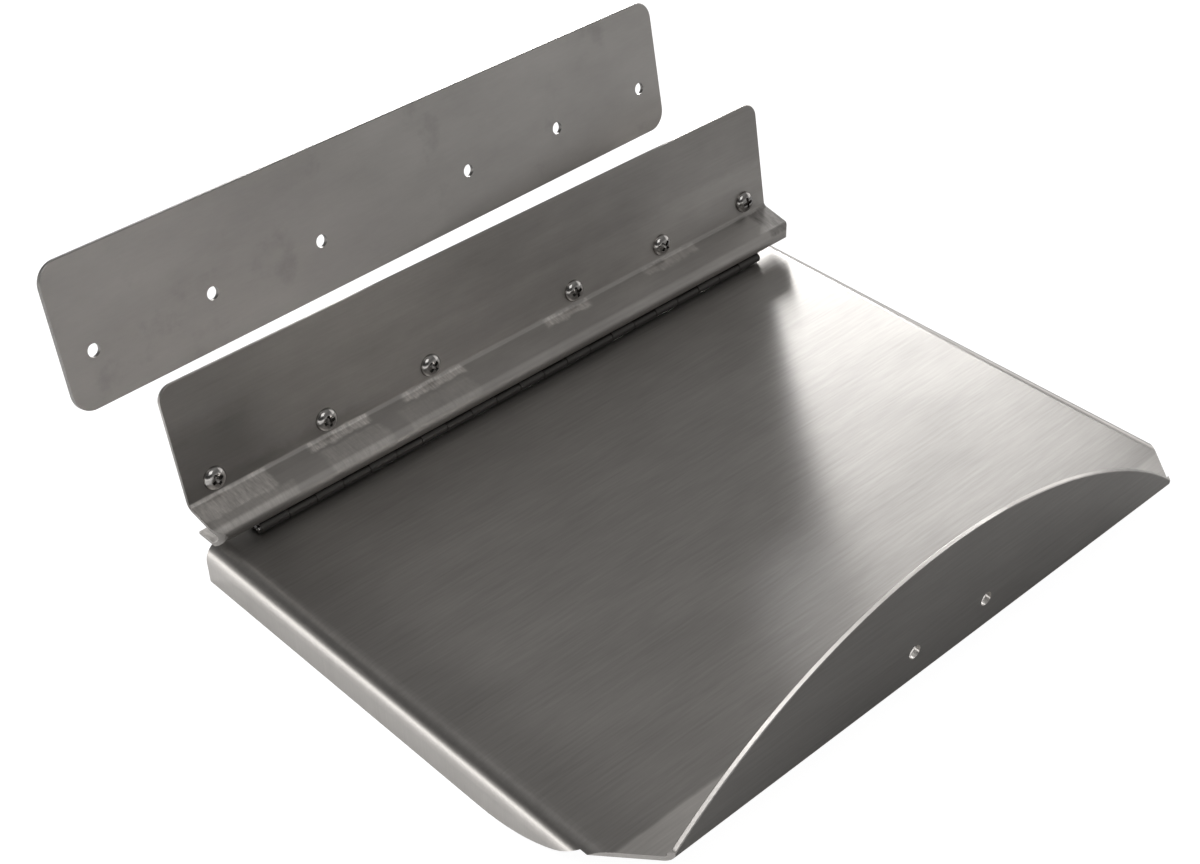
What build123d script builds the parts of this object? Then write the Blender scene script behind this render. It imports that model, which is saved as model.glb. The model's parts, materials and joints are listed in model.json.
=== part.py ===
"""Boat trim tab: a hinged stainless plane, its transom bracket, six screws and a backing strip.

The tab lies level on the lower edges of its side flanges. X runs along the hinge, +Y points
at the boat's transom, the tab reaches back along -Y, and +Z is up. The origin is on the
transom side of the bracket, in the middle of its row of screws. All sizes are millimetres.
"""

from build123d import *
import math
import os

# Overall sizes of the tab, 12 by 9 inches
tab_width = 304.8
tab_chord = 228.6
tab_sheet = 2.0

# Folded edges of the tab
side_flange_depth = 17.5
side_bend_radius = 8.0
side_taper_length = 48.0
corner_clip_width = 20.6
corner_clip_length = 24.5
corner_clip_radius = 6.0
lip_height = 50.8
lip_end_height = 1.8
lip_end_radius = 3.0
lip_bend_radius = 3.0
lip_hole_radius = 2.75
lip_hole_spacing = 38.1
lip_hole_height = 12.4

# Transom bracket, one folded strip of sheet
bracket_width = 304.8
bracket_sheet = 1.6
flange_lean = 9.0
flange_above_screws = 42.9
flange_corner_radius = 6.35
kink_below_screws = 6.35
kink_radius = 2.0
leg_length = 13.7
leg_slope = 12.0
hem_radius = 4.0
nose_corner_radius = 5.0
return_lip_length = 8.6

# Filed edges of the cut sheet
edge_break = 0.3

# Screws and the holes that they pass through
screw_end_margin = 12.7
screw_spacing = 50.8
screws_each_side = 3
screw_radius = 2.4
screw_hole_clearance = 0.35
screw_length = 25.4
screw_tip_length = 5.0
screw_head_radius = 4.75
screw_head_height = 2.9
screw_head_edge = 0.9
recess_width = 1.3
recess_span = 5.2
recess_depth = 1.9

# Piano hinge between the bracket's return lip and the tab
hinge_end_margin = 19.05
knuckle_width = 12.7
knuckle_gap = 0.3
leaf_sheet = 0.9
leaf_edge_setback = 0.6
hinge_pin_radius = 1.0
hinge_pin_clearance = 0.05
hinge_pin_overhang = 0.8
barrel_clearance = 0.3
axis_inside_nose = 2.6
tab_edge_behind_lip = 1.3

# Backing strip, as wide as the bracket and loose behind it, and where it stands
strip_height = 55.6
strip_sheet = 1.6
strip_corner_radius = 8.0
strip_hole_height = 20.3
strip_hole_radius = 2.5
strip_x = -33.0
strip_y = 13.2
strip_z = 43.1
strip_lean = 11.5
strip_turn = 5.5
strip_roll = -1.65

# The screw row, three from each end, shared by the bracket and the backing strip
end_screw = bracket_width / 2 - screw_end_margin
screw_offsets = [end_screw - i * screw_spacing for i in range(screws_each_side)]
screw_row = [-x for x in screw_offsets] + screw_offsets[::-1]

# Directions of the leaning flange, seen along the hinge
lean = math.radians(flange_lean)
flange_up = Vector(0, math.sin(lean), math.cos(lean))
flange_normal = Vector(0, math.cos(lean), -math.sin(lean))
transom_plane = Plane(origin=(0, 0, 0), x_dir=(-1, 0, 0), z_dir=flange_normal)


# Hinge bracket: leaning flange, short leg, rounded nose and a return lip under it
heading_down = 270 - flange_lean
heading_aft = 180 + leg_slope
kink_turn = heading_down - heading_aft
kink_setback = kink_radius * math.tan(math.radians(kink_turn / 2))

with BuildPart() as hinge_bracket:
    with BuildSketch(Plane.YZ):
        with BuildLine():
            flange_top = (flange_above_screws * flange_up.Y, flange_above_screws * flange_up.Z)
            flange_run = flange_above_screws + kink_below_screws - kink_setback
            flange = PolarLine(flange_top, flange_run, heading_down)
            kink = JernArc(flange @ 1, flange % 1, kink_radius + bracket_sheet, -kink_turn)
            leg = PolarLine(kink @ 1, leg_length - kink_setback, heading_aft)
            hem = JernArc(leg @ 1, leg % 1, hem_radius - bracket_sheet, 360 - heading_aft)
            PolarLine(hem @ 1, return_lip_length, 0)
            offset(amount=bracket_sheet, side=Side.RIGHT)
        make_face()
    extrude(amount=bracket_width / 2, both=True)
    for end in (Axis.X, -Axis.X):
        corner = hinge_bracket.faces().sort_by(end)[-1].edges().sort_by(Axis.Z)[-1]
        fillet(corner, flange_corner_radius)
    for end in (Axis.X, -Axis.X):
        end_face = hinge_bracket.faces().filter_by(Axis.X).sort_by(end)[-1]
        chamfer(end_face.edges().filter_by(lambda e: e.length > 2 * bracket_sheet), edge_break)
    nose_y = hinge_bracket.part.bounding_box().min.Y
    top_z = hinge_bracket.part.bounding_box().max.Z
    with BuildSketch(Plane.XY.offset(top_z)):
        with Locations((0, nose_y)):
            Rectangle(bracket_width, bracket_width, align=(Align.CENTER, Align.MIN))
        fillet(vertices().group_by(Axis.Y)[0], nose_corner_radius)
    extrude(amount=-bracket_width, mode=Mode.INTERSECT)
    with Locations(transom_plane):
        with Locations([(x, 0) for x in screw_row]):
            Hole(screw_radius + screw_hole_clearance, depth=2 * bracket_sheet)

return_lip = hinge_bracket.faces().filter_by(Axis.Z).sort_by(Axis.Z)[0]
lip_bottom = return_lip.center().Z
lip_tip = return_lip.bounding_box().max.Y


# Hinge line and tab levels, worked out from the return lip
bore_radius = hinge_pin_radius + hinge_pin_clearance
barrel_radius = bore_radius + leaf_sheet
axis_y = nose_y + axis_inside_nose
axis_z = lip_bottom - barrel_clearance - barrel_radius
tab_top = axis_z - barrel_radius - barrel_clearance
tab_front = lip_tip - tab_edge_behind_lip
tab_rear = tab_front - tab_chord
knuckle_count = round((bracket_width - 2 * hinge_end_margin) / knuckle_width)
hinge_length = knuckle_count * knuckle_width


# Trim plane: one sheet with its sides folded down and its rear edge folded up
lip_half = tab_width / 2 - corner_clip_width
clip_front = tab_rear + corner_clip_length
flat_rear = tab_rear + lip_bend_radius

with BuildPart() as rear_lip:
    with BuildSketch(Plane.YZ):
        with BuildLine():
            FilletPolyline(
                (flat_rear + lip_bend_radius, tab_top),
                (tab_rear + tab_sheet, tab_top),
                (tab_rear + tab_sheet, tab_top + lip_height),
                radius=lip_bend_radius - tab_sheet,
            )
            offset(amount=tab_sheet, side=Side.LEFT)
        make_face()
    extrude(amount=lip_half + corner_clip_width / 2, both=True)
    with BuildSketch(Plane.XZ.offset(-tab_front)):
        with BuildLine():
            shoulder = tab_top + lip_end_height
            base = tab_top - tab_sheet
            arch = ThreePointArc(
                (-lip_half, shoulder), (0, tab_top + lip_height), (lip_half, shoulder)
            )
            Polyline(
                arch @ 1,
                (tab_width / 2, shoulder),
                (tab_width / 2, base),
                (-tab_width / 2, base),
                (-tab_width / 2, shoulder),
                arch @ 0,
            )
        make_face()
    extrude(amount=2 * tab_chord, mode=Mode.INTERSECT)
    chamfer(rear_lip.edges().filter_by(GeomType.CIRCLE).group_by(SortBy.LENGTH)[-1], edge_break)
    lip_centre = (0, tab_rear, tab_top + lip_hole_height)
    with Locations(Plane(origin=lip_centre, x_dir=(1, 0, 0), z_dir=(0, -1, 0))):
        with GridLocations(lip_hole_spacing, lip_hole_spacing, 2, 1):
            Hole(lip_hole_radius, depth=2 * tab_sheet)

with BuildPart() as trim_plane:
    with BuildSketch(Plane.XZ.offset(-tab_front)):
        with BuildLine():
            FilletPolyline(
                (-tab_width / 2, tab_top - side_flange_depth),
                (-tab_width / 2, tab_top),
                (tab_width / 2, tab_top),
                (tab_width / 2, tab_top - side_flange_depth),
                radius=side_bend_radius,
            )
            offset(amount=tab_sheet, side=Side.RIGHT)
        make_face()
    extrude(amount=tab_chord - lip_bend_radius)
    add(rear_lip.part)
    with BuildSketch(Plane.XY.offset(tab_top + lip_height)):
        with BuildLine():
            Polyline(
                (-tab_width / 2, tab_front),
                (tab_width / 2, tab_front),
                (tab_width / 2, clip_front),
                (lip_half, tab_rear),
                (-lip_half, tab_rear),
                (-tab_width / 2, clip_front),
                close=True,
            )
        make_face()
        rear_corners, clip_corners = vertices().group_by(Axis.Y)[:2]
        fillet(clip_corners, corner_clip_radius)
        fillet(rear_corners, lip_end_radius)
    extrude(amount=-lip_height - side_flange_depth, mode=Mode.INTERSECT)
    with BuildSketch(Plane.YZ):
        with BuildLine():
            flange_bottom = tab_top - side_flange_depth
            taper_rise = side_flange_depth - tab_sheet
            taper_radius = (side_taper_length**2 + taper_rise**2) / (2 * taper_rise)
            taper_angle = math.degrees(math.asin(side_taper_length / taper_radius))
            taper = JernArc(
                (clip_front + side_taper_length, flange_bottom), (-1, 0), taper_radius, -taper_angle
            )
            below = (taper @ 1).Y
            Polyline(taper @ 1, (tab_rear, below), (tab_rear, flange_bottom), taper @ 0)
        make_face()
    extrude(amount=tab_width, both=True, mode=Mode.SUBTRACT)


# Piano hinge: two leaves whose knuckles share one pin
def hinge_leaf(leaf_bottom, leaf_front, first_knuckle):
    """A flat leaf with every second knuckle of the barrel, starting at first_knuckle."""
    centres = [
        (i + 0.5) * knuckle_width - hinge_length / 2
        for i in range(first_knuckle, knuckle_count, 2)
    ]
    web_start = axis_y + barrel_radius + barrel_clearance
    own_width = knuckle_width - knuckle_gap
    with BuildPart() as leaf:
        with BuildSketch(Plane.XY.offset(leaf_bottom)):
            with Locations((0, web_start)):
                web_depth = leaf_front - web_start
                Rectangle(hinge_length, web_depth, align=(Align.CENTER, Align.MIN))
            with Locations([(x, axis_y) for x in centres]):
                Rectangle(own_width, leaf_front - axis_y, align=(Align.CENTER, Align.MIN))
        extrude(amount=leaf_sheet)
        with Locations([(x, axis_y, axis_z) for x in centres]):
            Cylinder(barrel_radius, own_width, rotation=(0, 90, 0))
        with Locations((0, axis_y, axis_z)):
            Cylinder(bore_radius, 2 * hinge_length, rotation=(0, 90, 0), mode=Mode.SUBTRACT)
    return leaf


fixed_hinge_leaf = hinge_leaf(lip_bottom - leaf_sheet, lip_tip - leaf_edge_setback, 0)
moving_hinge_leaf = hinge_leaf(tab_top, tab_front - leaf_edge_setback, 1)

with BuildPart() as hinge_pin:
    with Locations((0, axis_y, axis_z)):
        Cylinder(hinge_pin_radius, hinge_length + 2 * hinge_pin_overhang, rotation=(0, 90, 0))


# Pan-head tapping screws, pushed through the bracket towards the transom
def mounting_screw(screw_x):
    """One screw whose head seats on the flange, with a cross recess in its domed top."""
    screw_plane = Plane(origin=(screw_x, 0, 0), x_dir=(1, 0, 0), z_dir=-flange_up)
    seat = bracket_sheet
    tip = seat - screw_length
    crown = seat + screw_head_height
    dome_rise = screw_head_height - screw_head_edge
    dome_radius = (screw_head_radius**2 + dome_rise**2) / (2 * dome_rise)
    dome_mid_x = screw_head_radius / 2
    dome_mid_y = crown - dome_radius + math.sqrt(dome_radius**2 - dome_mid_x**2)
    with BuildPart() as screw:
        with BuildSketch(screw_plane):
            with BuildLine():
                sides = Polyline(
                    (0, crown),
                    (0, tip),
                    (screw_radius, tip + screw_tip_length),
                    (screw_radius, seat),
                    (screw_head_radius, seat),
                    (screw_head_radius, seat + screw_head_edge),
                )
                ThreePointArc(sides @ 1, (dome_mid_x, dome_mid_y), sides @ 0)
            make_face()
        revolve(axis=Axis((screw_x, 0, 0), flange_normal))
        crown_centre = Vector(screw_x, 0, 0) - flange_normal * crown
        with BuildSketch(Plane(origin=crown_centre, x_dir=(1, 0, 0), z_dir=-flange_normal)):
            Rectangle(recess_span, recess_width)
            Rectangle(recess_width, recess_span)
        extrude(amount=-recess_depth, mode=Mode.SUBTRACT)
    return screw


screws = [mounting_screw(x) for x in screw_row]


# Backing strip: a flat plate with the same row of holes as the bracket
strip_place = Location((strip_x, strip_y, strip_z), (90 - strip_lean, strip_turn, strip_roll))
strip_plane = Plane(strip_place)

with BuildPart() as backing_strip:
    with BuildSketch(strip_plane):
        with Locations((0, strip_height / 2)):
            RectangleRounded(bracket_width, strip_height, strip_corner_radius)
    extrude(amount=-strip_sheet)
    chamfer(backing_strip.edges().filter_by(lambda e: e.length > 2 * strip_sheet), edge_break)
    with Locations(strip_plane):
        with Locations([(x, strip_hole_height) for x in screw_row]):
            Hole(strip_hole_radius, depth=2 * strip_sheet)


# Name and write every piece
pieces = {
    "trim_plane": trim_plane,
    "hinge_bracket": hinge_bracket,
    "fixed_hinge_leaf": fixed_hinge_leaf,
    "moving_hinge_leaf": moving_hinge_leaf,
    "hinge_pin": hinge_pin,
    "backing_strip": backing_strip,
}
for number, screw in enumerate(screws, start=1):
    pieces[f"mounting_screw_{number}"] = screw

os.makedirs("parts", exist_ok=True)
for name, piece in pieces.items():
    piece.part.label = name
    export_step(piece.part, f"parts/{name}.step")

print("hinge axis y, z:", round(axis_y, 3), round(axis_z, 3))
print("tab top, front, rear:", round(tab_top, 3), round(tab_front, 3), round(tab_rear, 3))
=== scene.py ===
# %% [markdown]
# # A boat trim tab in stainless steel
# The tab is a folded sheet that hangs behind a boat on a long piano hinge. The metal shapes come
# from the imported CAD frame, so this lesson adds what a frame lacks: a camera, light, finishes and
# the small turned and rolled pieces. The box of the frame is printed at the start.

import json
import math

import bmesh
import bpy
import numpy as np
from mathutils import Matrix, Vector

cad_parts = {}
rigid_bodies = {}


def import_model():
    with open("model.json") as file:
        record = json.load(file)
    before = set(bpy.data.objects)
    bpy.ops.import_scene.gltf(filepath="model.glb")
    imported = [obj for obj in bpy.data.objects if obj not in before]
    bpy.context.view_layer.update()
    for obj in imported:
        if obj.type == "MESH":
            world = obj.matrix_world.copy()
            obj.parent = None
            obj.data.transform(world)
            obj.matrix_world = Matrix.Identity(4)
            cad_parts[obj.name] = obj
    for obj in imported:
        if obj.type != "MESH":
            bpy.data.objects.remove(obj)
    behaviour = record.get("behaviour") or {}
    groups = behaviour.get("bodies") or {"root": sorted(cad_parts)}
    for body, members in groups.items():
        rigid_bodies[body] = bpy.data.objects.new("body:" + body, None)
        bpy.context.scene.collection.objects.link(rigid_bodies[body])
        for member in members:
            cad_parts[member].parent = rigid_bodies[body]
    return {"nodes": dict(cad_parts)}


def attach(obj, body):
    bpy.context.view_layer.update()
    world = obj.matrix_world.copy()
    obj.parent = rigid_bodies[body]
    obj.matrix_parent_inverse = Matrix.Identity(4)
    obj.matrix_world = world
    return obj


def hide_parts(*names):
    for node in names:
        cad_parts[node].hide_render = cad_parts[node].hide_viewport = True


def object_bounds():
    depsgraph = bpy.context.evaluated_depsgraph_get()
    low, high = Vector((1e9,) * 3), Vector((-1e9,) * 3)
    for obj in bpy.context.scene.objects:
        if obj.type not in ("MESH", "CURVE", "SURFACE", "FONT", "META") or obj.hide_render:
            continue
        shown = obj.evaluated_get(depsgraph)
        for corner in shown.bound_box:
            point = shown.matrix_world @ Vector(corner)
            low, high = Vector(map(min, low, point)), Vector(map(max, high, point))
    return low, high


for left_over in list(bpy.data.objects):
    bpy.data.objects.remove(left_over)
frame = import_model()
cad_box = [list(corner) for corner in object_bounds()]
nodes = frame["nodes"]
print("CAD box:", [[round(v, 4) for v in corner] for corner in cad_box])

# %% [markdown]
# ## The camera
# The photograph looks down on the tab's left rear corner. The place, direction and lens come from
# matching the straight folds, the screws and the holes of the model with the picture. A small shift
# puts the middle of the lens where the picture's perspective has it.

# %% Place the camera
camera_data = bpy.data.cameras.new("tab_camera")
camera_data.lens = 59.61
camera_data.sensor_width = 36.0
camera_data.shift_x = -0.0548
camera_data.shift_y = 0.0441
camera = bpy.data.objects.new("tab_camera", camera_data)
bpy.context.scene.collection.objects.link(camera)
forward = Vector((0.53889, 0.5622, -0.62732)).normalized()
right = Vector((0.71827, -0.69574, -0.0065)).normalized()
upward = right.cross(forward)
turn = Matrix((right, upward, -forward)).transposed().to_4x4()
camera.matrix_world = Matrix.Translation((-0.41548, -0.52938, 0.45568)) @ turn
bpy.context.scene.camera = camera
print("camera height above the floor:", round(camera.location.z - cad_box[0][2], 3), "m")

# %% [markdown]
# ## Small helpers for node materials
# Every finish here is a tree of nodes. A few helpers keep the cells short: one adds a node and sets
# its values, one joins sockets, and the others do sums, take a vector apart and make a smooth
# passage between two levels.


# %% Helpers for node trees
def add_node(tree, kind, **values):
    """A node of this kind, with values given for its own settings or its input sockets."""
    node = tree.nodes.new(kind)
    for name, value in values.items():
        if name.startswith("in_"):
            key = name[3:]
            node.inputs[int(key) if key.isdigit() else key.replace("_", " ")].default_value = value
        else:
            setattr(node, name, value)
    return node


def join(tree, start, finish):
    """A link from an output socket to an input socket."""
    tree.links.new(start, finish)


def maths(tree, operation, first, second=None, third=None):
    """The output of a Math node whose inputs are sockets or plain numbers."""
    node = add_node(tree, "ShaderNodeMath", operation=operation)
    for socket, value in zip(node.inputs, (first, second, third)):
        if isinstance(value, bpy.types.NodeSocket):
            join(tree, value, socket)
        elif value is not None:
            socket.default_value = value
    return node.outputs[0]


def split(tree, vector):
    """The three numbers of a vector."""
    node = add_node(tree, "ShaderNodeSeparateXYZ")
    join(tree, vector, node.inputs[0])
    return node.outputs


def ramp(tree, value, start, end, low=0.0, high=1.0):
    """A smooth passage from the level low to the level high while the value goes from start to
    end; low may be the greater of the two."""
    node = add_node(tree, "ShaderNodeMapRange", interpolation_type="SMOOTHSTEP")
    for name, number in {"From Min": start, "From Max": end, "To Min": low, "To Max": high}.items():
        node.inputs[name].default_value = number
    join(tree, value, node.inputs["Value"])
    return node.outputs[0]


print("helpers:", ", ".join(helper.__name__ for helper in (add_node, join, maths, split, ramp)))

# %% [markdown]
# ## The floor
# The tab lies on a plain pale floor, on the lower edges of its folded sides. To the camera the
# floor is lifted to white, but only in part, so the soft shadow stays. The steel sees the floor
# itself, with light and shade painted into its colour: a light grey near the tab, painted shade for
# the darker floor there, that passes to near white at the left of the tab, painted light as if a
# white card lay there. That is what gives the left fold its line of light.

# %% Build the floor
floor_level = cad_box[0][2]
reach = 6.0
# Painted shade and light on the floor: grey near the tab, near white at its left.
shaded_floor_grey, lit_floor_white = 0.36, 0.88
lit_floor_start, lit_floor_full = -0.12, -0.23
lift_share, lift_strength = 0.7, 1.38
floor_mesh = bpy.data.meshes.new("studio_floor")
floor_corners = [(-reach, -reach), (reach, -reach), (reach, reach), (-reach, reach)]
floor_mesh.from_pydata([(x, y, floor_level) for x, y in floor_corners], [], [(0, 1, 2, 3)])
floor = bpy.data.objects.new("studio_floor", floor_mesh)
bpy.context.scene.collection.objects.link(floor)

floor_paint = bpy.data.materials.new("floor_paint")
floor_paint.use_nodes = True
tree = floor_paint.node_tree
tree.nodes.clear()
matt = add_node(tree, "ShaderNodeBsdfDiffuse")
place = add_node(tree, "ShaderNodeTexCoord")
sideways = split(tree, place.outputs["Object"])[0]
join(tree, ramp(tree, sideways, lit_floor_start, lit_floor_full, shaded_floor_grey, lit_floor_white), matt.inputs["Color"])
lifted = add_node(tree, "ShaderNodeEmission", in_Color=(1, 1, 1, 1), in_Strength=lift_strength)
path = add_node(tree, "ShaderNodeLightPath")
share = maths(tree, "MULTIPLY", path.outputs["Is Camera Ray"], lift_share)
blend = add_node(tree, "ShaderNodeMixShader")
join(tree, share, blend.inputs[0])
join(tree, matt.outputs[0], blend.inputs[1])
join(tree, lifted.outputs[0], blend.inputs[2])
surface = add_node(tree, "ShaderNodeOutputMaterial")
join(tree, blend.outputs[0], surface.inputs["Surface"])
floor_mesh.materials.append(floor_paint)
print("floor at", round(floor_level * 1000, 2), "mm")

# %% [markdown]
# ## The world
# Sheet metal shows whatever is around it, and the dark ceiling of a studio is what gives steel its
# depth. So the world is white to the camera and quiet to the metal: a grey wall that darkens
# upwards, a faint ceiling, a low bright backdrop at the left for the left fold, and a bright side
# at the far right for the right one. Heights and sides are parts of a direction of length 1.

# %% Build the world
world = bpy.data.worlds.new("studio_world")
bpy.context.scene.world = world
world.use_nodes = True
tree = world.node_tree
tree.nodes.clear()
direction = add_node(tree, "ShaderNodeTexCoord")
sideways, _, height = split(tree, direction.outputs["Generated"])
wall = ramp(tree, height, 0.05, 0.4, low=0.75, high=0.3)
backdrop = ramp(tree, height, 0.12, 0.21, low=1.95, high=0.1)
at_left = ramp(tree, sideways, 0.05, -0.25)
to_backdrop = maths(tree, "MULTIPLY", at_left, maths(tree, "SUBTRACT", backdrop, wall))
far_right = ramp(tree, sideways, 0.77, 0.85, high=1.15)
ceiling = ramp(tree, height, 0.55, 0.85, high=0.14)
level = maths(tree, "ADD", wall, to_backdrop)
level = maths(tree, "ADD", level, far_right)
level = maths(tree, "ADD", level, ceiling)
path = add_node(tree, "ShaderNodeLightPath")
level = maths(tree, "MAXIMUM", level, path.outputs["Is Camera Ray"])
sky = add_node(tree, "ShaderNodeBackground", in_Color=(1, 0.99, 0.98, 1))
join(tree, level, sky.inputs["Strength"])
surface = add_node(tree, "ShaderNodeOutputWorld")
join(tree, sky.outputs[0], surface.inputs["Surface"])
print("world has", len(tree.nodes), "nodes")

# %% [markdown]
# ## Soft lamps
# A broad low panel at the right, behind the bracket, is what the right half of the plate shows as
# a bright field. A second one, high at the left, lights the pale floor there and is kept out of
# reflections, as a black card would do in a studio. A lamp above the camera fills in the front.


# %% Hang the lamps
def soft_panel(name, place, aim, size, watts):
    """A rectangular area lamp at a place, turned to face the aim."""
    data = bpy.data.lights.new(name, "AREA")
    data.shape = "RECTANGLE"
    data.size = size[0]
    data.size_y = size[1]
    data.energy = watts
    lamp = bpy.data.objects.new(name, data)
    bpy.context.scene.collection.objects.link(lamp)
    facing = (Vector(aim) - Vector(place)).to_track_quat("-Z", "Y")
    lamp.matrix_world = Matrix.Translation(place) @ facing.to_matrix().to_4x4()
    return lamp


field_x, field_y = 0.08, -0.1
panel_turn, panel_distance, panel_height = math.radians(36), 1.5, 0.36
right_x = field_x + panel_distance * math.sin(panel_turn)
right_y = field_y + panel_distance * math.cos(panel_turn)
right_place = (right_x, right_y, panel_height)
right_aim = (field_x, field_y, 0.05)
soft_panel("right_panel", right_place, right_aim, size=(0.84, 0.26), watts=25)
left_panel = soft_panel("left_panel", (-0.9, 0.5, 1.6), (-0.3, 0, 0), size=(1.3, 1.0), watts=34)
left_panel.visible_glossy = False
soft_panel("top_panel", (-0.5, -0.9, 1.5), (0, -0.1, 0), size=(1.0, 1.0), watts=8)
print("right panel at", [round(v, 2) for v in right_place])

# %% [markdown]
# ## Brushed grain
# Brushing leaves thousands of hair-fine parallel scratches. The cheapest honest way to draw them is
# noise that is stretched a hundredfold along the grain. The folds carry the grain with them: it
# runs along the hinge on the plate, the bracket and the lip, and down the two folded sides. Three
# sizes of noise are laid over each other: fine lines, longer streaks and slow clouds.


# %% The grain group
def new_group(name, inputs, outputs):
    """A shader node group with named value inputs, each with a starting value, and outputs."""
    group = bpy.data.node_groups.new(name, "ShaderNodeTree")
    for label, value in inputs.items():
        socket = group.interface.new_socket(label, in_out="INPUT", socket_type="NodeSocketFloat")
        socket.default_value = value
    for label in outputs:
        group.interface.new_socket(label, in_out="OUTPUT", socket_type="NodeSocketFloat")
    return group, add_node(group, "NodeGroupInput"), add_node(group, "NodeGroupOutput")


def combine(tree, *numbers):
    """A vector from three sockets or plain numbers."""
    node = add_node(tree, "ShaderNodeCombineXYZ")
    for socket, value in zip(node.inputs, numbers):
        if isinstance(value, bpy.types.NodeSocket):
            join(tree, value, socket)
        else:
            socket.default_value = value
    return node.outputs[0]


def noise_at(tree, place, scale, detail=3.0):
    """Noise at a place that is first stretched by a scale for each axis."""
    spread = add_node(tree, "ShaderNodeVectorMath", operation="MULTIPLY")
    join(tree, place, spread.inputs[0])
    join(tree, scale, spread.inputs[1])
    noise = add_node(tree, "ShaderNodeTexNoise", in_Scale=1.0, in_Detail=detail, in_Roughness=0.6)
    join(tree, spread.outputs[0], noise.inputs["Vector"])
    return noise.outputs["Fac"]


def swing(tree, value, amount):
    """1 + amount x (value - 1/2): a tone that swings evenly about one."""
    return maths(tree, "MULTIPLY_ADD", maths(tree, "SUBTRACT", value, 0.5), amount, 1.0)


grain_inputs = {
    "Lines": 1400.0,
    "Length": 14.0,
    "Grain Contrast": 0.1,
    "Streak Contrast": 0.2,
    "Cloud Contrast": 0.2,
}
grain, given, result = new_group("brushed_grain", grain_inputs, ["Grain", "Wander", "Tone"])
place = add_node(grain, "ShaderNodeTexCoord")
shape = add_node(grain, "ShaderNodeNewGeometry")
facing = split(grain, shape.outputs["Normal"])
on_side = maths(grain, "GREATER_THAN", maths(grain, "ABSOLUTE", facing[0]), 0.7)
x, y, z = split(grain, place.outputs["Object"])
swap = maths(grain, "MULTIPLY", maths(grain, "SUBTRACT", z, x), on_side)
along = maths(grain, "ADD", x, swap)
depth = maths(grain, "SUBTRACT", z, swap)
on_sheet = combine(grain, along, y, depth)
lines, length = given.outputs["Lines"], given.outputs["Length"]
fine = noise_at(grain, on_sheet, combine(grain, length, lines, lines))
streak = noise_at(grain, on_sheet, combine(grain, 50.0, 900.0, 900.0), 3.0)
cloud = noise_at(grain, on_sheet, combine(grain, 18.0, 44.0, 44.0), 6.0)
side_calm = maths(grain, "MULTIPLY_ADD", on_side, -0.7, 1.0)
streak_contrast = maths(grain, "MULTIPLY", given.outputs["Streak Contrast"], side_calm)
streak_swing = maths(grain, "SUBTRACT", streak, 0.5)
cloud_swing = maths(grain, "SUBTRACT", cloud, 0.5)
wander = maths(grain, "ADD", streak_swing, cloud_swing)
tone = swing(grain, fine, given.outputs["Grain Contrast"])
tone = maths(grain, "MULTIPLY", tone, swing(grain, streak, streak_contrast))
tone = maths(grain, "MULTIPLY", tone, swing(grain, cloud, given.outputs["Cloud Contrast"]))
join(grain, fine, result.inputs["Grain"])
join(grain, wander, result.inputs["Wander"])
join(grain, tone, result.inputs["Tone"])
print("grain group has", len(grain.nodes), "nodes")

# %% [markdown]
# ## Painted light and other marks
# Most of these marks paint light and shade into the colour of the sheet: highlights in patches on
# the bracket's short leg, shade in its fold, and faces painted lighter or darker by the way they
# face the light. The plate also carries a light band along the foot of the lip. Each mark is a
# soft box in object coordinates, in mm, whose edges are made ragged by a little noise, so no
# picture is needed and every mark stays where the metal is. Faces are told apart by the way they
# look, which is the normal of the surface.


# %% Helpers for marks
def between(tree, value, low, high, edge):
    """1 where the value lies between low and high, fading out over the edge outside them."""
    rise = ramp(tree, value, low - edge, low)
    fall = ramp(tree, value, high, high + edge, low=1.0, high=0.0)
    return maths(tree, "MULTIPLY", rise, fall)


def ragged_place(tree, amount, scale):
    """The three object coordinates in mm, moved by noise of this amount and scale."""
    place = add_node(tree, "ShaderNodeTexCoord")
    noise = noise_at(tree, place.outputs["Object"], combine(tree, scale, scale, scale))
    moved = maths(tree, "MULTIPLY", maths(tree, "SUBTRACT", noise, 0.5), amount)
    return [
        maths(tree, "MULTIPLY_ADD", coordinate, 1000.0, moved)
        for coordinate in split(tree, place.outputs["Object"])
    ]


def brighter(tree, tone, mask, amount):
    """The tone x (1 + amount x mask); a negative amount makes it darker."""
    return maths(tree, "MULTIPLY", tone, maths(tree, "MULTIPLY_ADD", mask, amount, 1.0))


print("helpers:", between.__name__, ragged_place.__name__, brighter.__name__)

# %% [markdown]
# ## Marks on the bracket
# The short leg that leans back under the flange is painted lighter all over, as light on a face that
# looks up, and beside the screws it carries patches of painted highlight with fine ribs across them;
# one patch at its right end is painted darker. The flange is painted a little brighter along its foot
# at the right, as the reflection of the bright plate, and darker at its lower left, as painted shade;
# the fold between flange and leg is painted darker, as shade in the crease. Each patch is given by
# its ends along the hinge, its ends across the leg, in mm, and its strength.

# %% Marks on the bracket
bracket_marks, _, result = new_group("bracket_marks", {}, ["Tone"])
tree = bracket_marks
x, y, z = ragged_place(tree, 5.0, 160.0)
shape = add_node(tree, "ShaderNodeNewGeometry")
facing = split(tree, shape.outputs["Normal"])
on_leg = ramp(tree, facing[2], 0.3, 0.6)
place = add_node(tree, "ShaderNodeTexCoord")
ribs = noise_at(tree, place.outputs["Object"], combine(tree, 1000.0, 190.0, 190.0))
ribs = swing(tree, ribs, 2.6)
# Painted highlights in patches along the leg, one painted darker at its right end.
patches = [
    (-151, -121, -12.0, -3.6, 0.6),
    (-150, -116, -20.0, -14.0, 0.25),
    (-99, -73, -5.8, -3.8, 0.9),
    (-97, -71, -20.0, -9.5, 0.25),
    (-53, -25, -5.8, -3.8, 0.8),
    (-60, -27, -18.0, -9.5, 0.15),
    (21, 42, -6.0, -3.8, 0.7),
    (77, 105, -6.6, -4.0, 0.35),
    (142, 160, -22.0, -4.0, -0.3),
]
glint = None
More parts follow.
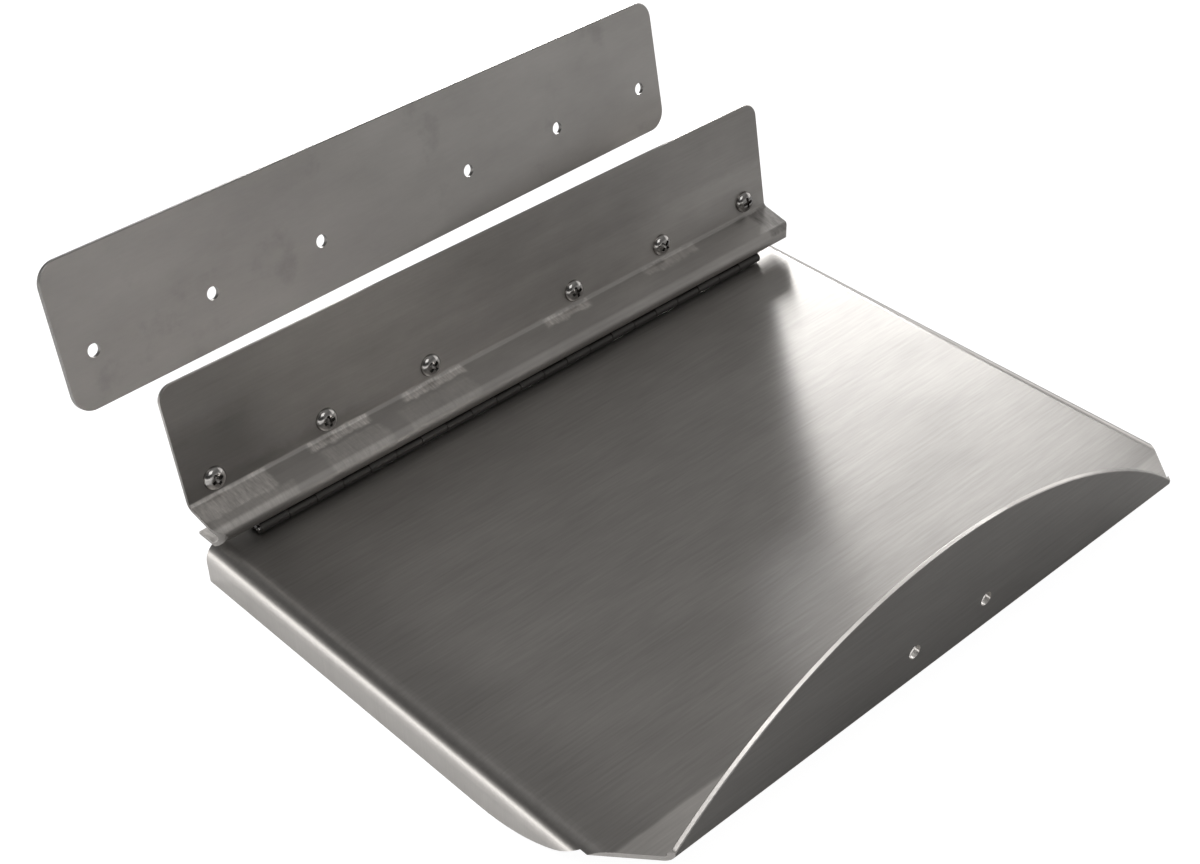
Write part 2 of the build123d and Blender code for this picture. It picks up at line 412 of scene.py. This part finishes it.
for x_low, x_high, y_low, y_high, strength in patches:
    inside = between(tree, x, x_low, x_high, 2.5)
    inside = maths(tree, "MULTIPLY", inside, between(tree, y, y_low, y_high, 1.8))
    inside = maths(tree, "MULTIPLY", inside, strength)
    glint = inside if glint is None else maths(tree, "ADD", glint, inside)
glint = maths(tree, "MULTIPLY", maths(tree, "MULTIPLY", glint, ribs), on_leg)
# Painted light along the flange's foot towards the right, painted shade at its lower left.
foot_light = between(tree, z, -3.0, 14.0, 4.0)
foot_light = maths(tree, "MULTIPLY", foot_light, ramp(tree, x, -110.0, -40.0))
left_foot_shade = between(tree, z, -7.0, -3.0, 5.0)
left_foot_shade = maths(tree, "MULTIPLY", left_foot_shade, ramp(tree, x, -20.0, -90.0))
left_corner_shade = between(tree, z, -8.0, 16.0, 16.0)
left_corner_shade = maths(tree, "MULTIPLY", left_corner_shade, ramp(tree, x, -105.0, -130.0))
# Painted shade in the fold between flange and leg.
kink_shade = between(tree, facing[2], 0.3, 0.8, 0.12)
kink_shade = maths(tree, "MULTIPLY", kink_shade, ramp(tree, y, -7.0, -5.0))
off_leg = maths(tree, "SUBTRACT", 1.0, on_leg)
tone = maths(tree, "ADD", glint, 1.0)
# Painted light: the leg is lighter all over, since it faces up.
tone = brighter(tree, tone, on_leg, 0.16)
tone = brighter(tree, tone, kink_shade, -0.12)
for mask, amount in ((foot_light, 0.1), (left_foot_shade, -0.22), (left_corner_shade, -0.28)):
    tone = brighter(tree, tone, maths(tree, "MULTIPLY", mask, off_leg), amount)
join(tree, tone, result.inputs["Tone"])
print("bracket:", len(patches), "rubbed patches,", len(tree.nodes), "nodes")

# %% [markdown]
# ## Marks on the loose strip
# The strip is matt, with a few darker smudges, and its cut edges are dull. A cut edge is wherever
# the surface doesn't face the strip's own way, which comes from the three turns that the strip
# stands at: nearly upright, a little askew and a little rolled.

# %% Marks on the loose strip
upright, askew, rolled = math.radians(90 - 11.5), math.radians(5.5), math.radians(-1.65)
strip_turn = (
    Matrix.Rotation(upright, 3, "X")
    @ Matrix.Rotation(askew, 3, "Y")
    @ Matrix.Rotation(rolled, 3, "Z")
)
strip_normal = strip_turn @ Vector((0, 0, 1))
strip_marks, _, result = new_group("strip_marks", {}, ["Tone"])
tree = strip_marks
shape = add_node(tree, "ShaderNodeNewGeometry")
likeness = add_node(tree, "ShaderNodeVectorMath", operation="DOT_PRODUCT")
join(tree, shape.outputs["Normal"], likeness.inputs[0])
likeness.inputs[1].default_value = strip_normal
cut_edge = ramp(tree, maths(tree, "ABSOLUTE", likeness.outputs["Value"]), 0.9, 0.6)
place = add_node(tree, "ShaderNodeTexCoord")
smudge = noise_at(tree, place.outputs["Object"], combine(tree, 42.0, 42.0, 42.0), 6.0)
smudge = ramp(tree, smudge, 0.56, 0.72)
tone = maths(tree, "MULTIPLY_ADD", smudge, -0.14, 1.0)
join(tree, brighter(tree, tone, cut_edge, -0.55), result.inputs["Tone"])
print("strip faces", [round(v, 3) for v in strip_normal])

# %% [markdown]
# ## Marks on the tab
# A light band runs along the foot of the rear lip, stronger at the left. The plate is painted darker
# beside its left fold, as shade by the fold; the lip's outer face is painted darker, as the shade of
# the floor in front of it that it mirrors; and the folded sides are painted brighter, as the light
# they mirror. The lip's arched edge was sheared, which leaves it frosty: it scatters light more than
# it mirrors it. Its colour is also painted brighter, most at the left, as a painted highlight. The
# group gives that edge as a mask of its own, and the finish makes it less of a mirror.

# %% Marks on the tab
tab_marks, _, result = new_group("tab_marks", {}, ["Tone", "Sheared Glint"])
tree = tab_marks
x, y, z = ragged_place(tree, 2.2, 60.0)
shape = add_node(tree, "ShaderNodeNewGeometry")
facing = split(tree, shape.outputs["Normal"])
on_top = ramp(tree, facing[2], 0.8, 0.95)
rear_band = maths(tree, "MULTIPLY", ramp(tree, y, -221.0, -223.0), on_top)
rear_band = maths(tree, "MULTIPLY", rear_band, ramp(tree, x, -60.0, 60.0, low=0.72, high=0.2))
# Painted shade on the plate beside its left fold.
fold_shade = maths(tree, "MULTIPLY", ramp(tree, x, -110.0, -142.0), on_top)
# Painted shade on the lip's outer face, painted light on the folded sides.
lip_face_shade = ramp(tree, facing[1], -0.5, -0.9)
side_face_light = ramp(tree, maths(tree, "ABSOLUTE", facing[0]), 0.4, 0.9)
off_faces = ramp(tree, maths(tree, "ABSOLUTE", facing[1]), 0.5, 0.3)
# The sheared edge: frosty and less metallic, with a painted highlight strongest at the left.
sheared_glint = maths(tree, "MULTIPLY", ramp(tree, y, -233.0, -234.0), ramp(tree, z, -19.5, -18.5))
sheared_glint = maths(tree, "MULTIPLY", sheared_glint, off_faces)
sheared_glint = maths(tree, "MULTIPLY", sheared_glint, ramp(tree, x, -95.0, 0.0, low=0.8, high=0.12))
tone = maths(tree, "ADD", rear_band, 1.0)
for mask, amount in ((lip_face_shade, -0.3), (side_face_light, 0.7), (fold_shade, -0.2), (sheared_glint, 0.8)):
    tone = brighter(tree, tone, mask, amount)
join(tree, tone, result.inputs["Tone"])
join(tree, sheared_glint, result.inputs["Sheared Glint"])
print("tab:", len(tree.nodes), "nodes")

# %% [markdown]
# ## Steel finishes
# One maker of finishes serves all the sheet: a metal shader whose colour and roughness follow the
# grain and a slow cloud, with the grain again as a shallow bump. Brushed metal smears what it
# reflects across its lines, so the shader is strongly directed, with the tangent laid across the
# grain: that is what draws the low lamp out into a field of light that covers half the plate. The
# roughness follows the grain only a little, since a strongly directed shader turns small steps in
# roughness into dark dashes; the tone and the bump carry the rest.


# %% The sheet finish
def steel_finish(name, colour, roughness, directed, grain_values, depth, marks=None):
    """A brushed steel material: colour x tone of the grain x tone of the marks, roughness + a small
    sway x (grain and clouds), and a bump of this depth in metres. grain_values go to the inputs of
    the grain group. Where the marks give a sheared edge, that edge is 0.7 less metallic."""
    finish = bpy.data.materials.new(name)
    finish.use_nodes = True
    tree = finish.node_tree
    tree.nodes.clear()
    brushed = add_node(tree, "ShaderNodeGroup", node_tree=grain)
    for label, value in grain_values.items():
        brushed.inputs[label].default_value = value
    tone = brushed.outputs["Tone"]
    if marks:
        marked = add_node(tree, "ShaderNodeGroup", node_tree=marks)
        tone = maths(tree, "MULTIPLY", tone, marked.outputs["Tone"])
    tint = add_node(tree, "ShaderNodeVectorMath", operation="SCALE")
    tint.inputs[0].default_value = colour
    join(tree, tone, tint.inputs["Scale"])
    sway = 0.03
    rough = maths(tree, "MULTIPLY_ADD", brushed.outputs["Grain"], sway, roughness - sway / 2)
    rough = maths(tree, "MULTIPLY_ADD", brushed.outputs["Wander"], sway, rough)
    bump = add_node(tree, "ShaderNodeBump", in_Strength=1.0, in_Distance=depth)
    join(tree, brushed.outputs["Grain"], bump.inputs["Height"])
    shader = add_node(tree, "ShaderNodeBsdfPrincipled", in_Metallic=1.0, in_Anisotropic=directed)
    shape = add_node(tree, "ShaderNodeNewGeometry")
    across = add_node(tree, "ShaderNodeVectorMath", operation="CROSS_PRODUCT")
    across.inputs[0].default_value = (1, 0, 0)
    join(tree, shape.outputs["Normal"], across.inputs[1])
    lean = add_node(tree, "ShaderNodeVectorMath", operation="ADD")
    lean.inputs[1].default_value = (0, 0.05, 0)
    join(tree, across.outputs[0], lean.inputs[0])
    join(tree, lean.outputs[0], shader.inputs["Tangent"])
    join(tree, tint.outputs[0], shader.inputs["Base Color"])
    join(tree, rough, shader.inputs["Roughness"])
    join(tree, bump.outputs[0], shader.inputs["Normal"])
    if marks is tab_marks:
        mirror_share = maths(tree, "MULTIPLY_ADD", marked.outputs["Sheared Glint"], -0.7, 1.0)
        join(tree, mirror_share, shader.inputs["Metallic"])
    surface = add_node(tree, "ShaderNodeOutputMaterial")
    join(tree, shader.outputs[0], surface.inputs["Surface"])
    return finish


def dress(node_name, finish):
    """Gives a CAD node this finish on all its faces."""
    slots = nodes[node_name].data.materials
    slots.clear()
    slots.append(finish)


# %% Make and assign the finishes
def grained(lines, length, grain, streak, cloud):
    """Values for the grain group: noise cells for each metre across the grain (lines) and along it
    (length), and the three contrasts."""
    contrasts = {"Grain Contrast": grain, "Streak Contrast": streak, "Cloud Contrast": cloud}
    return {"Lines": lines, "Length": length, **contrasts}


plate_grain = grained(lines=1400, length=14, grain=0.12, streak=0.34, cloud=0.3)
bracket_grain = grained(lines=1100, length=20, grain=0.1, streak=0.16, cloud=0.62)
strip_grain = grained(lines=1500, length=60, grain=0.06, streak=0.08, cloud=0.4)
plain_grain = grained(lines=1600, length=60, grain=0.1, streak=0.1, cloud=0.2)
plate_steel = steel_finish(
    "plate_steel",
    (0.364, 0.35, 0.335),
    roughness=0.295,
    directed=0.93,
    grain_values=plate_grain,
    depth=3e-6,
    marks=tab_marks,
)
bracket_steel = steel_finish(
    "bracket_steel",
    (0.324, 0.31, 0.296),
    roughness=0.43,
    directed=0.4,
    grain_values=bracket_grain,
    depth=6e-6,
    marks=bracket_marks,
)
strip_steel = steel_finish(
    "strip_steel",
    (0.418, 0.402, 0.387),
    roughness=0.45,
    directed=0.2,
    grain_values=strip_grain,
    depth=5e-6,
    marks=strip_marks,
)
# Painted shade: the hinge is near-black, standing for the dark gap under the bracket's nose.
shaded_hinge_steel = steel_finish(
    "hinge_steel_painted_dark",
    (0.07, 0.067, 0.064),
    roughness=0.45,
    directed=0.3,
    grain_values=plain_grain,
    depth=5e-6,
)
pin_steel = steel_finish(
    "pin_steel",
    (0.5, 0.49, 0.48),
    roughness=0.25,
    directed=0.0,
    grain_values=plain_grain,
    depth=1e-6,
)
screw_steel = steel_finish(
    "screw_steel",
    (0.3, 0.29, 0.28),
    roughness=0.16,
    directed=0.0,
    grain_values=plain_grain,
    depth=1e-6,
)
dress("trim_plane", plate_steel)
dress("hinge_bracket", bracket_steel)
dress("backing_strip", strip_steel)
dress("hinge_pin", pin_steel)
steels = (plate_steel, bracket_steel, strip_steel, shaded_hinge_steel, pin_steel, screw_steel)
print("finishes:", [finish.name for finish in steels])

# %% [markdown]
# ## Surfaces on a grid
# The small pieces are surfaces of two parameters: rows of points, each row going all the way round
# the piece. One helper numbers the faces between neighbouring rows, and another makes the mesh and
# says which piece of the frame it stands for. Each piece closes its own ends.


# %% From a grid to a mesh
def grid_faces(rows, columns):
    """Corner numbers of the four-sided faces between neighbouring rows, each row joined into a
    ring. A corner's number is its row x the number of columns + its column."""
    row, column = np.meshgrid(np.arange(rows - 1), np.arange(columns), indexing="ij")
    row, column = row.ravel(), column.ravel()
    start, next_start = row * columns, (row + 1) * columns
    neighbour = (column + 1) % columns
    corners = [start + column, next_start + column, next_start + neighbour, start + neighbour]
    return np.stack(corners, 1)


def mesh_piece(name, points, faces, finish, body, stands_for):
    """A mesh object from points and faces that rides on a body and stands for CAD nodes."""
    mesh = bpy.data.meshes.new(name)
    mesh.from_pydata(points.tolist(), [], [list(map(int, face)) for face in faces])
    mesh.update()
    mesh.materials.append(finish)
    piece = bpy.data.objects.new(name, mesh)
    bpy.context.scene.collection.objects.link(piece)
    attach(piece, body)
    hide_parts(*stands_for)
    return piece


# %% [markdown]
# ## Pan-head screws
# A tapping screw has a low polished dome with a cross driven into it, and a rolled thread that
# fades out along the pointed tip. Both are functions on the same grid: the profile gives radius
# and height along the screw, the angle adds the cross on the dome and the thread on the shank.

# %% Build the screws
lean = math.radians(9.0)
flange_up = np.array([0.0, math.sin(lean), math.cos(lean)])
outward = np.array([0.0, -math.cos(lean), math.sin(lean)])
seat, crown_rise, head_radius, rim_height, crown_power = 1.6, 2.9, 4.75, 0.12, 2.6
arm_half, arm_reach, centre_reach, cross_depth, cross_slope = 0.62, 2.5, 1.25, 2.3, 0.45
side_wall, end_wall = 0.16, 0.3
shank_length, tip_length, crest_radius, thread_depth, pitch = 25.4, 5.0, 2.4, 0.62, 1.6
ridge_half, run_in, point_power = 0.34, 1.2, 0.8
points_around, cross_rows, crown_rows, shank_rows = 96, 44, 22, 300


def screw_points(turn):
    """Rows of points from crown to tip, in mm: the head's height is the crown's x the square root
    of 1 - (r / head radius)^crown power, so its rim is rounded; inside the cross it is lowered by a
    depth that slopes at its walls; the shank's radius is the crest radius less the thread depth
    times a sharp wave of height / pitch - angle / full turn, all drawn in to a point at the tip."""
    angle = np.linspace(0, 2 * np.pi, points_around, endpoint=False)[None, :]
    outer_ring = head_radius * np.sin(np.linspace(0.72, np.pi / 2, crown_rows)[:-1])
    ring = np.concatenate([np.linspace(0.02, 3.05, cross_rows), outer_ring])[:, None]
    crown = np.sqrt(1 - (ring / head_radius) ** crown_power)
    height = seat + rim_height + (crown_rise - rim_height) * crown
    x, y = ring * np.cos(angle), ring * np.sin(angle)
    wide, narrow = np.maximum(abs(x), abs(y)), np.minimum(abs(x), abs(y))
    arm = np.clip((arm_half - narrow) / side_wall, 0, 1) * np.clip((arm_reach - wide) / end_wall, 0, 1)
    centre = np.clip((centre_reach - (wide + narrow)) / end_wall, 0, 1)
    sunk = np.maximum(arm, centre) * (cross_depth - cross_slope * wide)
    dome = np.stack([x, y, height - sunk], -1)
    rim = np.array([[head_radius, rim_height], [head_radius - rim_height, 0]])
    under = np.linspace(head_radius - 0.3, crest_radius - 0.3, 4)
    rim = np.concatenate([rim, np.stack([under, np.zeros(4)], 1)])
    rim_x = rim[:, :1] * np.cos(angle)
    rim_y = rim[:, :1] * np.sin(angle)
    rim_z = np.repeat(seat + rim[:, 1:], angle.size, 1)
    down = np.linspace(0.05, shank_length - 0.02, shank_rows)[:, None]
    wave = (down / pitch - angle / (2 * np.pi)) % 1.0
    ridge = np.clip(1 - abs(wave - 0.5) / ridge_half, 0, 1)
    taper = np.clip((shank_length - down) / tip_length, 0, 1)
    ease = np.clip(down / run_in, 0, 1)
    core = crest_radius - thread_depth * (1 - ridge * ease)
    radius = core * taper**point_power
    shank = np.stack([radius * np.cos(angle), radius * np.sin(angle), seat - down + 0 * angle], -1)
    rows = np.concatenate([dome, np.stack([rim_x, rim_y, rim_z], -1), shank])
    spin = np.array([[math.cos(turn), -math.sin(turn)], [math.sin(turn), math.cos(turn)]])
    rows[..., :2] = rows[..., :2] @ spin.T
    return rows


def build_screw(number, x, turn):
    """One screw at this place along the hinge, its cross turned by this angle."""
    rows = screw_points(turn)
    count, around = rows.shape[:2]
    local = rows.reshape(-1, 3) / 1000
    place = np.array([x / 1000, 0, 0])
    points = place + local[:, :1] * [1, 0, 0] + local[:, 1:2] * flange_up + local[:, 2:] * outward
    faces = grid_faces(count, around).tolist()
    faces.append(list(range(around)))
    faces.append([(count - 1) * around + k for k in range(around)][::-1])
    name = f"threaded_screw_{number}"
    stands_for = [f"mounting_screw_{number}"]
    return mesh_piece(name, points, faces, screw_steel, "bracket", stands_for)


screw_places = [-139.7, -88.9, -38.1, 38.1, 88.9, 139.7]
screw_turns = [0.35, 0.1, 0.6, 0.25, 0.75, 0.05]
screws = [build_screw(n + 1, x, t) for n, (x, t) in enumerate(zip(screw_places, screw_turns))]
print("faces in a screw:", len(screws[0].data.polygons))

# %% [markdown]
# ## Rolled hinge leaves
# A piano hinge is two strips whose edges are cut into tongues and rolled round one pin, so each
# knuckle is an open curl with a seam, not a closed tube. The profile follows the flat strip and
# then the curl, and is drawn out along the hinge: one long plain strip, and one curl per tongue.

# %% Build the leaves
axis_y, axis_z = -16.543, -19.033
leaf_sheet, barrel_radius, barrel_gap = 0.9, 1.95, 0.3
strip_level, curl_radius, curl_turn = 1.8, 1.5, 305
knuckle_width, knuckle_gap, knuckle_count = 12.7, 0.3, 21
hinge_length = knuckle_width * knuckle_count


def curl_profile(side, leaf_front):
    """Outline of strip and curl in (y, z), mm. The middle line runs level above the pin, then turns
    through most of a circle while its radius shrinks from the strip's level to the curl's radius
    over the first quarter; the outline is that line moved half a sheet to either side. side is 1
    above the pin and -1 below it."""
    turned = np.radians(np.linspace(0, curl_turn, 46))
    slack = (1 - np.clip(turned / (np.pi / 2), 0, 1)) ** 2
    radius = curl_radius + (strip_level - curl_radius) * slack
    middle_y = np.concatenate([[leaf_front - axis_y, 2.4, 1.2], -radius * np.sin(turned)])
    middle_z = np.concatenate([[strip_level] * 3, radius * np.cos(turned)])
    step_y, step_z = np.gradient(middle_y), np.gradient(middle_z)
    size = np.hypot(step_y, step_z)
    across_y, across_z = -step_z / size, step_y / size
    half = leaf_sheet / 2
    outer = np.stack([middle_y + half * across_y, middle_z + half * across_z], 1)
    inner = np.stack([middle_y - half * across_y, middle_z - half * across_z], 1)
    outline = np.concatenate([outer, inner[::-1]])
    outline[:, 1] *= side
    return outline + [axis_y, axis_z]


def drawn_out(outline, start, end):
    """Points and faces of the outline drawn along X from start to end, with both ends closed."""
    count = len(outline)
    near = np.column_stack([np.full(count, start), outline])
    far = np.column_stack([np.full(count, end), outline])
    sides = grid_faces(2, count).tolist()
    half = count // 2
    ring = np.arange(half - 1)
    strips = np.stack([ring, ring + 1, count - 2 - ring, count - 1 - ring], 1)
    near_cap = strips.tolist()
    far_cap = (strips[:, ::-1] + count).tolist()
    return np.concatenate([near, far]), sides + near_cap + far_cap


def build_leaf(name, node, body, side, leaf_front, first_knuckle):
    """A leaf with every second curl, beginning with this knuckle. near and far are the heights of
    the strip's faces, near the pin and away from it."""
    outline = curl_profile(side, leaf_front)
    web_back = axis_y + barrel_radius + barrel_gap
    near = axis_z + side * (strip_level - leaf_sheet / 2)
    far = axis_z + side * (strip_level + leaf_sheet / 2)
    web = np.array([[leaf_front, far], [web_back, far], [web_back, near], [leaf_front, near]])
    runs = [(web, -hinge_length / 2, hinge_length / 2)]
    for i in range(first_knuckle, knuckle_count, 2):
        middle = (i + 0.5) * knuckle_width - hinge_length / 2
        reach = (knuckle_width - knuckle_gap) / 2
        runs.append((outline, middle - reach, middle + reach))
    points, faces = [], []
    for shape, start, end in runs:
        made, sides = drawn_out(shape, start, end)
        base = sum(len(p) for p in points)
        points.append(made)
        faces += [[corner + base for corner in face] for face in sides]
    points = np.concatenate(points) / 1000
    piece = mesh_piece(name, points, faces, shaded_hinge_steel, body, [node])
    tidy = bmesh.new()
    tidy.from_mesh(piece.data)
    bmesh.ops.recalc_face_normals(tidy, faces=tidy.faces)
    tidy.to_mesh(piece.data)
    tidy.free()
    return piece


fixed = build_leaf("rolled_fixed_leaf", "fixed_hinge_leaf", "bracket", 1, -7.143, 0)
moving = build_leaf("rolled_moving_leaf", "moving_hinge_leaf", "tab", -1, -8.443, 1)
print("faces in the leaves:", len(fixed.data.polygons), "and", len(moving.data.polygons))

# %% [markdown]
# ## The view transform
# The dressed pieces stay inside the box of the CAD frame. The picture is shown through the plain
# Standard view transform.

# %% The view transform
bpy.context.scene.view_settings.view_transform = "Standard"
